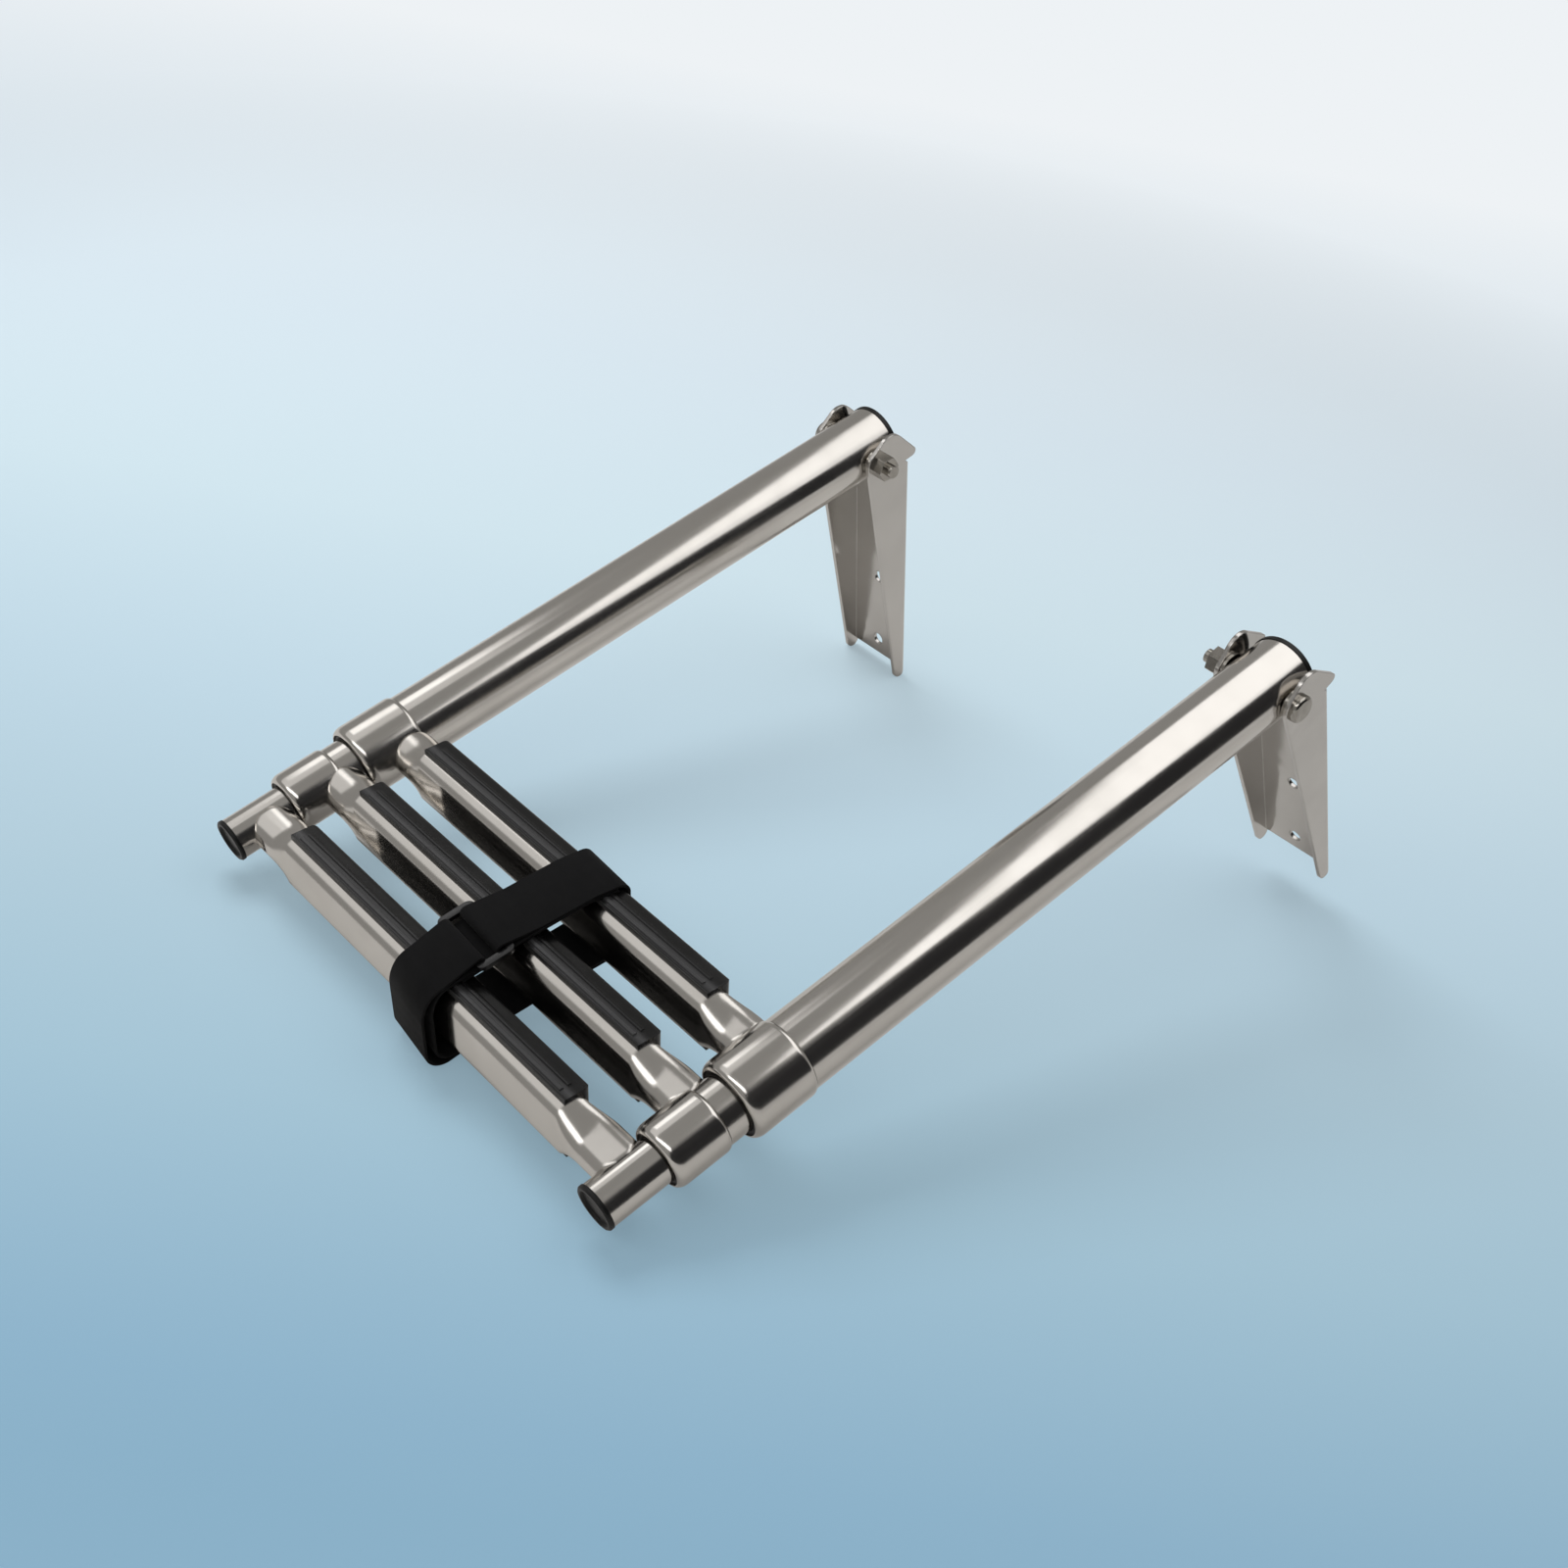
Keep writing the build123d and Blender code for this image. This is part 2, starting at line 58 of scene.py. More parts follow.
MM = 0.001
SRGB_KNEE, SRGB_SLOPE = 0.04045, 12.92      # the straight start of the sRGB curve
SRGB_OFFSET, SRGB_POWER = 0.055, 2.4        # the curve after it
METAL = {"Metallic": 1.0}
NOISE_SPAN = (0.3, 0.7)     # where nearly all of a noise lies
WAVE_SPEED = 20.0           # what Blender's wave texture multiplies its scale by
CLOTH_MAP = "cloth"
MERGE = 0.001               # points this near each other are one, in mm
POLE = 0.0002               # radius of a ring that merges to a closed pole, in mm
FOLD_ANGLE = 50.0           # edges turned more than this get a bevel, in degrees
SHORTEST = 1e-6             # runs of tape shorter than this are left out, in mm
log = logging.getLogger("boat_ladder")


def linear(colour: str) -> tuple[float, float, float, float]:
    """Turn an sRGB hex colour into linear light.

    Args:
        colour: six hex digits, red first, after a hash.

    Returns:
        Linear red, green and blue, and an alpha of 1.
    """
    parts = [int(colour[i:i + 2], 16) / 255 for i in (1, 3, 5)]
    light = [
        c / SRGB_SLOPE if c <= SRGB_KNEE else ((c + SRGB_OFFSET) / (1 + SRGB_OFFSET)) ** SRGB_POWER
        for c in parts
    ]
    return light[0], light[1], light[2], 1.0


def add_node(
    tree: Tree,
    kind: str,
    inputs: dict | None = None,
    stops: tuple = (),
    **settings: object,
) -> bpy.types.Node:
    """Add one node with its settings and links.

    Args:
        tree: the node tree that gets it.
        kind: Blender's name for the kind of node.
        inputs: for each input, by name or number, a value or the output that feeds it.
        stops: places and colours along a colour ramp.
        **settings: attributes of the node.

    Returns:
        The new node.
    """
    node = tree.nodes.new(kind)
    for name, value in settings.items():
        setattr(node, name, value)
    for place, value in (inputs or {}).items():
        if isinstance(value, Socket):
            tree.links.new(value, node.inputs[place])
        else:
            node.inputs[place].default_value = value
    if stops:
        elements = node.color_ramp.elements
        while len(elements) < len(stops):
            elements.new(1.0)
        for element, (place, colour) in zip(elements, stops):
            element.position = place
            element.color = colour
    return node


class Slot(Enum):
    """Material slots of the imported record."""

    TUBE = "polished_steel"
    SHEET = "bracket_steel"
    BOLT = "bolt_steel"
    CAP = "black_plastic"
    TREAD = "tread_plastic"
    STRAP = "strap_webbing"


@dataclass(frozen=True)
class Lay:
    """Where the ladder lies: its own axes against the frame's."""

    hinge_y: float = -20.7
    hinge_z: float = 77.5
    slope: float = 6.2

    def matrix(self) -> Matrix:
        """Placement of a piece drawn along the ladder's own axes."""
        shift = Matrix.Translation(Vector((0, self.hinge_y, self.hinge_z)) * MM)
        return shift @ Matrix.Rotation(math.radians(self.slope), 4, "X")

    def point(self, x: float, down: float, height: float) -> Vector:
        """Point in the frame's axes.

        Args:
            x: across the ladder, from the left leg.
            down: down the leg from the hinge.
            height: square to the ladder.

        Returns:
            The point, in metres.
        """
        return self.matrix() @ (Vector((x, -down, height)) * MM)

    def square(self) -> Vector:
        """Direction square to the ladder's plane."""
        return self.matrix().to_3x3() @ Vector((0, 0, 1))

    def along(self) -> Vector:
        """Direction along the legs, towards the hinge."""
        return self.matrix().to_3x3() @ Vector((0, 1, 0))


LAY = Lay()


def empty_tree(owner: bpy.types.Material | bpy.types.World) -> Tree:
    """Switch on the nodes of a material or a world, and clear them.

    Args:
        owner: the material or world.

    Returns:
        Its empty node tree.
    """
    owner.use_nodes = True
    owner.node_tree.nodes.clear()
    return owner.node_tree


def maths(tree: Tree, operation: str, *values: object, **settings: object) -> Socket:
    """Reckon with numbers.

    Args:
        tree: the node tree.
        operation: Blender's name for the operation.
        *values: numbers, or the outputs that give them.
        **settings: attributes of the node.

    Returns:
        The result.
    """
    inputs = dict(enumerate(values))
    node = add_node(tree, "ShaderNodeMath", inputs, operation=operation, **settings)
    return node.outputs["Value"]


def noise(tree: Tree, place: Socket, size: float, **inputs: float) -> Socket:
    """Lay noise of a real size.

    Args:
        tree: the node tree.
        place: the coordinates that it follows.
        size: size of its spots, in mm.
        **inputs: its other inputs.

    Returns:
        The noise.
    """
    inputs = {"Vector": place, "Scale": 1 / (size * MM), **inputs}
    return add_node(tree, "ShaderNodeTexNoise", inputs).outputs["Fac"]


def spread(
    tree: Tree, value: Socket, span: tuple[float, float], onto: tuple[float, float] = (0.0, 1.0),
) -> Socket:
    """Spread part of a value's range onto another range.

    Args:
        tree: the node tree.
        value: the value.
        span: the part of its range.
        onto: the range that comes out, which it never leaves.

    Returns:
        The spread value.
    """
    limits = {"From Min": span[0], "From Max": span[1], "To Min": onto[0], "To Max": onto[1]}
    return add_node(tree, "ShaderNodeMapRange", {"Value": value, **limits}).outputs["Result"]


def blend(
    tree: Tree, share: object, first: object, second: object, **settings: object,
) -> Socket:
    """Blend two colours.

    Args:
        tree: the node tree.
        share: how much of the second one.
        first: a linear colour, or the output that gives it.
        second: the other one.
        **settings: attributes of the node.

    Returns:
        The blended colour.
    """
    inputs = {0: share, 6: first, 7: second}
    return add_node(tree, "ShaderNodeMix", inputs, data_type="RGBA", **settings).outputs[2]


def soft_edge(tree: Tree, radius: float, samples: int = 4) -> Socket:
    """Round the edges in the normal alone.

    Args:
        tree: the node tree.
        radius: the rounding, in mm.
        samples: how finely it is looked for.

    Returns:
        The normal.
    """
    node = add_node(tree, "ShaderNodeBevel", {"Radius": radius * MM}, samples=samples)
    return node.outputs["Normal"]


def bump(tree: Tree, height: Socket, rise: tuple[float, float], normal: Socket | None) -> Socket:
    """Bend the normal by a pattern.

    Args:
        tree: the node tree.
        height: the pattern.
        rise: its strength, and its depth in mm.
        normal: the normal to bend, or None for the surface's own.

    Returns:
        The bent normal.
    """
    inputs = {"Height": height, "Strength": rise[0], "Distance": rise[1] * MM}
    if normal is not None:
        inputs["Normal"] = normal
    return add_node(tree, "ShaderNodeBump", inputs).outputs["Normal"]


@dataclass(frozen=True)
class Look:
    """What a finish feeds to its shader."""

    colour: Socket
    rough: Socket
    normal: Socket
    levels: dict[str, float]


@dataclass(frozen=True)
class Finish(ABC):
    """A surface finish: one material, made once and shared."""

    name: str

    def material(self) -> bpy.types.Material:
        """Make the material, or give the one already made.

        Returns:
            The material.
        """
        made = bpy.data.materials.get(self.name)
        if made is not None:
            return made
        made = bpy.data.materials.new(self.name)
        tree = empty_tree(made)
        look = self.look(tree, self.coordinates(tree))
        shader = add_node(
            tree, "ShaderNodeBsdfPrincipled",
            {"Base Color": look.colour, "Roughness": look.rough, "Normal": look.normal,
             **look.levels},
        )
        add_node(tree, "ShaderNodeOutputMaterial", {"Surface": shader.outputs["BSDF"]})
        return made

    def coordinates(self, tree: Tree) -> Socket:
        """Give the coordinates that the patterns follow: the object's own."""
        return add_node(tree, "ShaderNodeTexCoord").outputs["Object"]

    @abstractmethod
    def look(self, tree: Tree, place: Socket) -> Look:
        """Lay the finish's patterns.

        Args:
            tree: the material's node tree.
            place: the coordinates that they follow.

        Returns:
            What feeds the shader.
        """


@dataclass(frozen=True)
class PolishedTube(Finish):
    """Drawn 316 stainless tube, buffed: a mirror with faint lines along its length."""

    name: str = "polished_drawn_stainless"
    colour: str = "#DBD7D2"
    handled: str = "#CAC6C0"
    line_width: float = 0.35    # drawing lines are finer, drawn this coarse to show
    line_length: float = 60.0
    line_rise: tuple[float, float] = (0.12, 0.02)
    haze_size: float = 26.0
    haze_rise: tuple[float, float] = (0.25, 0.12)
    haze_span: tuple[float, float] = (0.12, 0.42)
    roughness: tuple[float, float] = (0.13, 0.23)
    edge: float = 0.0           # corner rounding, for the pressed steps
    edge_samples: int = 6
    crown: tuple[float, float] = (0.0, 0.0)     # the sides' lean at mid height, its rise per mm

    def look(self, tree: Tree, place: Socket) -> Look:
        """Lay lines along the leg, under a haze of handling.

        Args:
            tree: the material's node tree.
            place: the object coordinates.

        Returns:
            What feeds the shader.
        """
        leg = add_node(
            tree, "ShaderNodeMapping",
            {"Vector": place, "Rotation": (math.radians(-LAY.slope), 0, 0)},
        ).outputs["Vector"]
        across, along = 1 / (self.line_width * MM), 1 / (self.line_length * MM)
        drawn = add_node(
            tree, "ShaderNodeVectorMath", {0: leg, 1: (across, along, across)},
            operation="MULTIPLY",
        )
        lines = add_node(
            tree, "ShaderNodeTexNoise",
            {"Vector": drawn.outputs["Vector"], "Scale": 1.0, "Detail": 2.0, "Roughness": 0.6},
        ).outputs["Fac"]
        haze = noise(tree, leg, self.haze_size, Detail=4.0)
        both = maths(tree, "MULTIPLY", lines, haze)
        pressed = self.pressed(tree, place) if self.edge else None
        groove = bump(tree, lines, self.line_rise, pressed)
        return Look(
            blend(tree, haze, linear(self.colour), linear(self.handled)),
            spread(tree, both, self.haze_span, self.roughness),
            bump(tree, haze, self.haze_rise, groove),
            METAL,
        )

    def pressed(self, tree: Tree, place: Socket) -> Socket:
        """Round a pressed tube's corners and crown its flat sides, as the press leaves them.

        Args:
            tree: the material's node tree.
            place: the object coordinates.

        Returns:
            The bent normal.
        """
        soft = soft_edge(tree, self.edge, self.edge_samples)
        up = LAY.square()
        level = up.dot(LAY.point(0, 0, 0))
        height = add_node(tree, "ShaderNodeVectorMath", {0: place, 1: up}, operation="DOT_PRODUCT")
        rise = self.crown[1] / MM
        lean = maths(
            tree, "MULTIPLY_ADD", height.outputs["Value"], rise, self.crown[0] - level * rise,
        )
        aside = add_node(tree, "ShaderNodeVectorMath", {0: up, 3: lean}, operation="SCALE")
        bent = add_node(
            tree, "ShaderNodeVectorMath", {0: soft, 1: aside.outputs["Vector"]}, operation="ADD",
        )
        unit = add_node(
            tree, "ShaderNodeVectorMath", {0: bent.outputs["Vector"]}, operation="NORMALIZE",
        )
        return unit.outputs["Vector"]


@dataclass(frozen=True)
class PressedSheet(Finish):
    """Pressed 304 stainless sheet, tumbled: softer than the tube, finely grained."""

    name: str = "pressed_tumbled_stainless"
    colour: str = "#CFCCC8"
    dull: str = "#C0BDB9"
    grain: float = 0.4          # tumbling marks are finer, drawn this coarse to show
    grain_rise: tuple[float, float] = (0.06, 0.01)
    cloud: float = 22.0
    dent: float = 34.0          # the sheet is not quite flat between its folds
    dent_rise: tuple[float, float] = (0.6, 1.6)
    edge: float = 0.9
    roughness: tuple[float, float] = (0.12, 0.22)

    def look(self, tree: Tree, place: Socket) -> Look:
        """Lay tumbling marks and clouds over gentle dents.

        Args:
            tree: the material's node tree.
            place: the object coordinates.

        Returns:
            What feeds the shader.
        """
        marks = noise(tree, place, self.grain, Detail=3.0, Roughness=0.65)
        cloud = noise(tree, place, self.cloud, Detail=4.0)
        dents = noise(tree, place, self.dent, Detail=1.0, Distortion=0.8)
        wavy = bump(tree, dents, self.dent_rise, soft_edge(tree, self.edge))
        return Look(
            blend(tree, cloud, linear(self.colour), linear(self.dull)),
            spread(tree, cloud, NOISE_SPAN, self.roughness),
            bump(tree, marks, self.grain_rise, wavy),
            METAL,
        )


@dataclass(frozen=True)
class TurnedBolt(Finish):
    """A2 stainless fasteners, cold headed and turned: bright with fine tool marks."""

    name: str = "turned_a2_stainless"
    colour: str = "#B9B5AE"
    dull: str = "#8B8780"
    mark: float = 0.4
    mark_rise: tuple[float, float] = (0.08, 0.01)
    cloud: float = 3.2
    edge: float = 0.3
    roughness: tuple[float, float] = (0.08, 0.18)

    def look(self, tree: Tree, place: Socket) -> Look:
        """Lay tool marks over small clouds.

        Args:
            tree: the material's node tree.
            place: the object coordinates.

        Returns:
            What feeds the shader.
        """
        marks = noise(tree, place, self.mark, Detail=3.0)
        cloud = noise(tree, place, self.cloud, Detail=2.0)
        return Look(
            blend(tree, cloud, linear(self.colour), linear(self.dull)),
            spread(tree, marks, NOISE_SPAN, self.roughness),
            bump(tree, marks, self.mark_rise, soft_edge(tree, self.edge)),
            METAL,
        )


@dataclass(frozen=True)
class MouldedPlastic(Finish):
    """Black moulded plastic: spark-eroded grain with lighter scuffed patches."""

    name: str = "moulded_black_nylon"
    colour: str = "#0F0F0F"
    scuffed: str = "#1D1D1E"
    grain: float = 0.45         # mould grain, a little coarser than real to show
    grain_strength: float = 0.35
    depth: float = 0.03
    patch: float = 30.0         # size of the scuffed patches, in grains
    patch_span: tuple[float, float] = (0.52, 0.75)
    edge: float = 0.5
    roughness: tuple[float, float] = (0.32, 0.48)
    gloss: float = 0.3
    painted_highlights: tuple[tuple[float, str], ...] = ()   # painted highlights over the lips' ridges: place from a lip's back edge, colour
    band_start: float = 276.4   # back edge of the first tread's lip, down the leg
    band_every: float = 34.2

    def look(self, tree: Tree, place: Socket) -> Look:
        """Lay grain, scuffs and any painted highlights over the lips' ridges.

        Args:
            tree: the material's node tree.
            place: the object coordinates.

        Returns:
            What feeds the shader.
        """
        marks = noise(tree, place, self.grain, Detail=2.0, Roughness=0.7)
        cloud = noise(tree, place, self.patch * self.grain, Detail=5.0, Roughness=0.65)
        scuffs = spread(tree, cloud, self.patch_span)
        tint = blend(tree, scuffs, linear(self.colour), linear(self.scuffed))
        # lighter stripes added to the colour: painted highlights where the lips' ridges catch the
        # lamps
        if self.painted_highlights:
            tint = blend(tree, 1.0, tint, self.painted_highlight_ramp(tree, place), blend_type="ADD")
        rise = (self.grain_strength, self.depth)
        return Look(
            tint,
            spread(tree, cloud, NOISE_SPAN, self.roughness),
            bump(tree, marks, rise, soft_edge(tree, self.edge)),
            {"Specular IOR Level": self.gloss},
        )

    def painted_highlight_ramp(self, tree: Tree, place: Socket) -> Socket:
        """Painted highlights on the ridges of the treads' lips, as stripes across the ladder.

        Args:
            tree: the material's node tree.
            place: the object coordinates.

        Returns:
            The painted light that the stripes add.
        """
        every = self.band_every * MM
        start = LAY.along().dot(LAY.point(0, self.band_start, 0))
        along = add_node(
            tree, "ShaderNodeVectorMath", {0: place, 1: LAY.along()}, operation="DOT_PRODUCT",
        )
        down = maths(tree, "MULTIPLY_ADD", along.outputs["Value"], -1 / every, start / every)
        ramp = add_node(
            tree, "ShaderNodeValToRGB", {"Fac": maths(tree, "FRACT", down)},
            stops=tuple((at / self.band_every, linear(colour)) for at, colour in self.painted_highlights),
        )
        return ramp.outputs["Color"]


@dataclass(frozen=True)
class LoopWebbing(Finish):
    """Black polyester loop tape: matt, with a woven rib and a felted pile."""

    name: str = "loop_tape_black"
    colour: str = "#070708"
    pile: str = "#111112"
    rib: float = 0.9            # rib spacing, a little coarser than real to show
    fluff: float = 0.35
    patch: float = 9.0
    rise: tuple[float, float] = (0.6, 0.15)
    roughness: tuple[float, float] = (0.78, 0.95)
    sheen: float = 0.03
    sheen_roughness: float = 0.4
    gloss: float = 0.2

    def coordinates(self, tree: Tree) -> Socket:
        """Give the coordinates of the tape's own map, across it and along it."""
        return add_node(tree, "ShaderNodeUVMap", uv_map=CLOTH_MAP).outputs["UV"]

    def look(self, tree: Tree, place: Socket) -> Look:
        """Lay ribs and pile along the tape.

        Args:
            tree: the material's node tree.
            place: the coordinates of the tape's own map.

        Returns:
            What feeds the shader.
        """
        ribs = add_node(
            tree, "ShaderNodeTexWave",
            {"Vector": place, "Scale": 1 / (self.rib * MM) / WAVE_SPEED, "Distortion": 0.4,
             "Detail": 1.0},
            bands_direction="Y",
        ).outputs["Fac"]
        loops = noise(tree, place, self.fluff, Detail=4.0, Roughness=0.7)
        worn = noise(tree, place, self.patch, Detail=3.0)
        weave = maths(tree, "MULTIPLY_ADD", ribs, loops, loops)
        return Look(
            blend(tree, loops, linear(self.colour), linear(self.pile)),
            spread(tree, worn, (0.0, 1.0), self.roughness),
            bump(tree, weave, self.rise, None),
            {"Sheen Weight": self.sheen, "Sheen Roughness": self.sheen_roughness,
             "Specular IOR Level": self.gloss},
        )


TUBE_STEEL = PolishedTube()
STEP_STEEL = PolishedTube(
    name="polished_pressed_stainless", roughness=(0.12, 0.22), edge=1.8, crown=(0.38, 0.012),
)
SHEET_STEEL = PressedSheet()
BOLT_STEEL = TurnedBolt()
CAP_PLASTIC = MouldedPlastic()
TREAD_PLASTIC = MouldedPlastic(
    name="moulded_tread_polypropylene", colour="#080808", scuffed="#111111",
    grain=0.6, depth=0.004, edge=0.7, roughness=(0.16, 0.26), gloss=0.5,
    # painted highlights on the lips' ridges
    painted_highlights=(
        (0.0, "#000000"), (1.2, "#161617"), (3.2, "#3A3A3B"), (4.8, "#2C2C2D"), (6.0, "#0A0A0A"),
        (7.0, "#464646"), (8.2, "#383838"), (9.2, "#000000"),
    ),
)
RING_PLASTIC = MouldedPlastic(
    name="moulded_ring_acetal", colour="#121213", scuffed="#222224",
    grain=0.5, depth=0.015, edge=0.4, roughness=(0.2, 0.32), gloss=0.5,
)
STRAP_CLOTH = LoopWebbing()


def pick(piece: Object, *others: Object) -> None:
    """Pick pieces and nothing else.

    Args:
        piece: the piece that becomes the active one.
        *others: those that are picked with it.
    """
    bpy.ops.object.select_all(action="DESELECT")
    for picked in (piece, *others):
        picked.select_set(True)
    bpy.context.view_layer.objects.active = piece


def start_edit(piece: Object, mode: str) -> None:
    """Go into edit mode with one piece alone.

    Args:
        piece: the piece to edit.
        mode: what is picked: "VERT", "EDGE" or "FACE".
    """
    pick(piece)
    bpy.ops.object.mode_set(mode="EDIT")
    bpy.ops.mesh.select_mode(type=mode)


def end_edit() -> None:
    """Go back to object mode."""
    bpy.ops.object.mode_set(mode="OBJECT")


def settle(piece: Object, place: Matrix) -> None:
    """Put a piece in its place, and the place into its mesh.

    Args:
        piece: the finished piece, drawn along the ladder's axes.
        place: where those axes lie.
    """
    pick(piece)
    piece.matrix_world = place @ piece.matrix_world
    bpy.ops.object.transform_apply(location=True, rotation=True, scale=True)


def modify(piece: Object, kind: str, **settings: object) -> None:
    """Add a modifier to a piece and apply it.

    Args:
        piece: the piece.
        kind: Blender's name for the modifier.
        **settings: attributes of the modifier.
    """
    pick(piece)
    modifier = piece.modifiers.new(kind.lower(), kind)
    for name, value in settings.items():
        setattr(modifier, name, value)
    bpy.ops.object.modifier_apply(modifier=modifier.name)


def round_edges(piece: Object, width: float, steps: int) -> None:
    """Bevel a piece's folded edges.

    Args:
        piece: the piece.
        width: how wide, in mm.
        steps: facets across the bevel.
    """
    modify(
        piece, "BEVEL", width=width * MM, segments=steps,
        limit_method="ANGLE", angle_limit=math.radians(FOLD_ANGLE),
    )


def pick_faces(piece: Object, wanted: Callable[[bpy.types.MeshPolygon], bool]) -> None:
    """Select a piece's faces by a rule, in object mode.

    Args:
        piece: the piece.
        wanted: says of each face whether it is picked.
    """
    for group in (piece.data.vertices, piece.data.edges):
        for item in group:
            item.select = False
    for face in piece.data.polygons:
        face.select = wanted(face)


def coat(piece: Object, finish: Finish, sharp: float) -> None:
    """Give a piece its finish, and shade it smooth except at its sharp edges.

    Args:
        piece: the piece.
        finish: its finish.
        sharp: sharpest angle that stays smooth, in degrees.
    """
    piece.data.materials.clear()
    piece.data.materials.append(finish.material())
    pick(piece)
    bpy.ops.object.shade_smooth_by_angle(angle=math.radians(sharp))


def quarter(steps: int) -> list[float]:
    """Angles of a quarter turn, in radians."""
    return [math.pi / 2 * i / steps for i in range(steps + 1)]


def ease(value: float, start: float, span: float) -> float:
    """Share of a span that a value has passed, from 0 to 1."""
    return min(max((value - start) / span, 0.0), 1.0)


@dataclass
class TubeFrame:
    """Brackets, hinges, tubes, steps and caps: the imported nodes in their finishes."""

    finishes: tuple[tuple[str, Finish], ...] = (
        ("bracket", SHEET_STEEL),
        ("_hinge_", BOLT_STEEL),
        ("washer", BOLT_STEEL),
        ("_tube", TUBE_STEEL),
        ("ferrule", TUBE_STEEL),
        ("_step", STEP_STEEL),
        ("cap", CAP_PLASTIC),
        ("bushing", CAP_PLASTIC),
        ("tread_pad", TREAD_PLASTIC),
        ("strap_ring", RING_PLASTIC),
        ("strap", STRAP_CLOTH),
    )

    def dress(self) -> int:
        """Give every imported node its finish.

        Returns:
            How many nodes got one.
        """
        done = 0
        for name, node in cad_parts.items():
            finish = next((f for word, f in self.finishes if word in name), None)
            if finish is None:
                log.warning("no finish for %s", name)
                continue
            for socket in node.material_slots:
                socket.material = finish.material()
            done += 1
        return done


@dataclass
class Turned(ABC):
    """A piece turned about both legs, with its finish, in place of a packed one on each side."""

    name: str
    section: str
    slot: Slot
    finish: Finish
    facets: int = 96
    leg_spacing: float = 259.2
    sharp: float = 40.0

    @abstractmethod
    def outline(self) -> Outline:
        """Give the section, all round."""

    def build(self) -> list[Object]:
        """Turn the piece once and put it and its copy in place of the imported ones.

        Returns:
            The left and right pieces.
        """
        outline = self.outline()
        down, radius = outline[0]
        bpy.ops.object.select_all(action="DESELECT")
        bpy.ops.mesh.primitive_circle_add(
            vertices=self.facets, radius=radius * MM, location=(0, -down * MM, 0),
            rotation=(math.radians(90), 0, 0),
        )
        piece = bpy.context.active_object
        piece.name = f"left_{self.name}_turned"
        bpy.ops.object.transform_apply(location=True, rotation=True, scale=True)
        start_edit(piece, "EDGE")
        bpy.ops.mesh.select_all(action="SELECT")
        for onward, wide in outline[1:]:
            bpy.ops.mesh.extrude_region_move(
                TRANSFORM_OT_translate={"value": (0, (down - onward) * MM, 0)},
            )
            share = wide / radius
            bpy.ops.transform.resize(value=(share, 1, share), center_override=(0, -onward * MM, 0))
            down, radius = onward, wide
        bpy.ops.mesh.select_all(action="SELECT")
        bpy.ops.mesh.remove_doubles(threshold=MERGE * MM)
        bpy.ops.mesh.normals_make_consistent(inside=False)
        end_edit()
        coat(piece, self.finish, self.sharp)
        other = piece.copy()
        other.data = piece.data.copy()
        other.name = f"right_{self.name}_turned"
        other.location.x = self.leg_spacing * MM
        bpy.context.scene.collection.objects.link(other)
        for side, made in (("left", piece), ("right", other)):
            settle(made, LAY.matrix())
            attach(made, self.section)
            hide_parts(f"{side}_{self.name}")
        return [piece, other]


@dataclass
class TopCap(Turned):
    """Moulded plug in a leg's upper end, its flange a little proud of the tube and rounded."""

    tube_radius: float = 16.0
    tube_wall: float = 1.2
    tube_top: float = -13.0
    flange: float = 2.7
    proud: float = 0.3
    rim_round: float = 0.9
    plug: float = 8.0
    plug_wall: float = 2.4
    seat: float = 0.1
    web: float = 1.0
    rim_steps: int = 5

    def outline(self) -> Outline:
        """Go out over the flange, down the plug and back along its inside.

        Returns:
            The section, from pole to pole.
        """
        rim = self.tube_radius + self.proud
        outside = self.tube_radius - self.tube_wall - self.seat
        inside = outside - self.plug_wall
        top, end, web = (self.tube_top + along for along in (-self.flange, self.plug, self.web))
        round_top = [
            (top + self.rim_round * (1 - math.sin(t)), rim - self.rim_round * (1 - math.cos(t)))
            for t in reversed(quarter(self.rim_steps))
        ]
        return [
            (top, POLE), *round_top, (self.tube_top, rim), (self.tube_top, outside),
            (end, outside), (end, inside), (web, inside), (web, POLE),
        ]


@dataclass
class Ferrule(Turned):
    """Swaged collar on a tube's lower end: rolled crease, straight barrel and curled mouth."""

    tube_radius: float = 16.0
    crease: float = 273.6
    mouth: float = 303.5
    bulge: float = 1.1
    crease_depth: float = 0.5
    wall: float = 1.2
    crease_roll: float = 2.4
    mouth_roll: float = 4.2
    roll_steps: int = 9

    def outline(self) -> Outline:
        """Go from the crease over the barrel and back up the bore.

        Returns:
            The closed section.
        """
        barrel, bore = self.tube_radius + self.bulge, self.tube_radius - self.wall
        root = self.tube_radius - self.crease_depth
        turns = [(math.sin(t), math.cos(t)) for t in quarter(self.roll_steps)]
        top = [
            (self.crease + self.crease_roll * (1 - cos), root + (barrel - root) * sin)
            for sin, cos in turns
        ]
        end = [
            (self.mouth - self.mouth_roll * (1 - sin), bore + (barrel - bore) * cos)
            for sin, cos in turns
        ]
        middle = ((top[-1][0] + end[0][0]) / 2, barrel)
        return [*top, middle, *end, (self.crease, bore), top[0]]


@dataclass(frozen=True)
class Corner:
    """One rounded corner of the line between the strap's two layers, on the ladder's axes."""

    down: float
    height: float
    radius: float = 0.0


